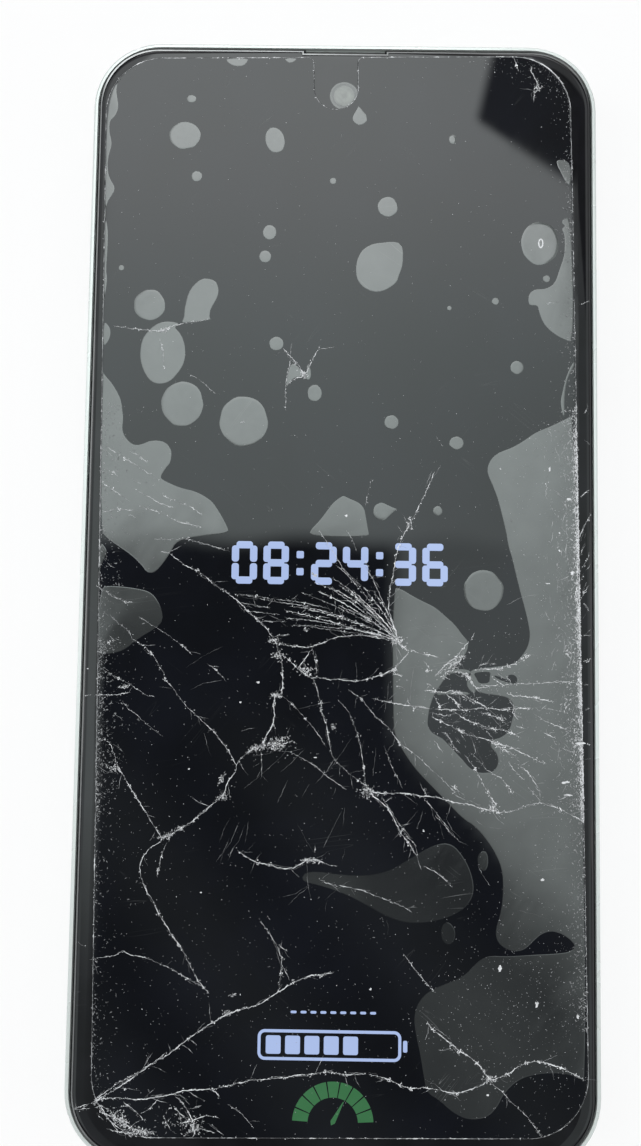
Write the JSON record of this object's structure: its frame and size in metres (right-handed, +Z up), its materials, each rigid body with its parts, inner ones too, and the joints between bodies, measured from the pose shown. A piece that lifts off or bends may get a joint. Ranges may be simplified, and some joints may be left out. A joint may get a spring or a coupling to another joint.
{
  "type": "shattered screen phone",
  "caption": "Touch phone lying screen up under a cracked, bubbled glass protector, with side keys, card tray, headphone socket and charging port.",
  "frame": {"origin": "middle of the body, at the face of the rear camera plate", "axes": "+Z up out of the screen, +Y along the length towards the top of the screen, +X towards the side with the keys"},
  "size_m": [0.076, 0.1636, 0.0092],
  "materials": {
    "protector_glass": "cracked thin glass",
    "screen_glass": "gloss black behind glass",
    "panel_black": "dark display",
    "black_adhesive": "foam adhesive",
    "amber_ribbon": "printed ribbon",
    "frame_silver": "pale satin metal",
    "cover_plastic": "gloss pale green plastic",
    "camera_plate_black": "gloss black",
    "lens_glass": "coated glass",
    "flash_cream": "ribbed clear plastic",
    "led_yellow": "phosphor",
    "camera_black": "matt black",
    "front_lens": "coated glass",
    "speaker_black": "matt plastic",
    "mesh_black": "fine mesh",
    "sensor_violet": "dark window",
    "board_green": "solder mask",
    "can_steel": "pressed tin",
    "chip_black": "moulded",
    "connector_cream": "moulded",
    "key_silver": "pale satin metal",
    "battery_grey": "foil pouch",
    "white_tape": "tape",
    "graphite_grey": "graphite film",
    "port_steel": "plated steel",
    "socket_black": "moulded",
    "lead_black": "sleeved lead",
    "sensor_black": "gloss black",
    "bracket_black": "moulded",
    "screw_steel": "plated steel"
  },
  "bodies": {
    "chassis": {"screen_protector": "protector_glass", "cover_glass": "screen_glass", "display_panel": "panel_black", "display_adhesive": "black_adhesive", "display_flex": "amber_ribbon", "mid_frame": "frame_silver", "rear_cover": "cover_plastic", "rear_adhesive": "black_adhesive", "camera_plate": "camera_plate_black", "camera_windows": "lens_glass", "flash_lens": "flash_cream", "flash_led": "led_yellow", "rear_camera_main": "camera_black", "rear_camera_second": "camera_black", "front_camera": "camera_black", "front_camera_lens": "front_lens", "camera_flexes": "amber_ribbon", "earpiece_speaker": "speaker_black", "earpiece_mesh": "mesh_black", "light_sensor": "sensor_violet", "main_board": "board_green", "board_shields": "can_steel", "board_chips": "chip_black", "board_connectors": "connector_cream", "card_reader": "can_steel", "battery": "battery_grey", "battery_adhesive": "white_tape", "battery_flex": "amber_ribbon", "graphite_sheet": "graphite_grey", "sub_board": "board_green", "usb_shell": "port_steel", "usb_tongue": "chip_black", "headphone_jack": "socket_black", "loudspeaker_box": "speaker_black", "speaker_mesh": "mesh_black", "vibration_motor": "can_steel", "microphones": "can_steel", "main_flex": "amber_ribbon", "antenna_coax": "lead_black", "key_flex": "amber_ribbon", "key_switches": "connector_cream", "top_bracket": "bracket_black", "bottom_bracket": "can_steel", "bracket_screws": "screw_steel"},
    "volume_key": {"volume_key": "key_silver"},
    "power_key": {"power_key": "key_silver", "fingerprint_sensor": "sensor_black"},
    "card_tray": {"sim_tray": "key_silver"}
  },
  "joints": [
    {"name": "volume_press", "type": "slide", "parent": "chassis", "child": "volume_key", "axis": [-1, 0, 0], "range_m": [0, 0.00025], "stiffness_N_per_m": 4000, "springref_m": -0.0002},
    {"name": "power_press", "type": "slide", "parent": "chassis", "child": "power_key", "axis": [-1, 0, 0], "range_m": [0, 0.00025], "stiffness_N_per_m": 4000, "springref_m": -0.0002},
    {"name": "tray_slide", "type": "slide", "parent": "chassis", "child": "card_tray", "axis": [-1, 0, 0], "range_m": [0, 0.026]}
  ]
}
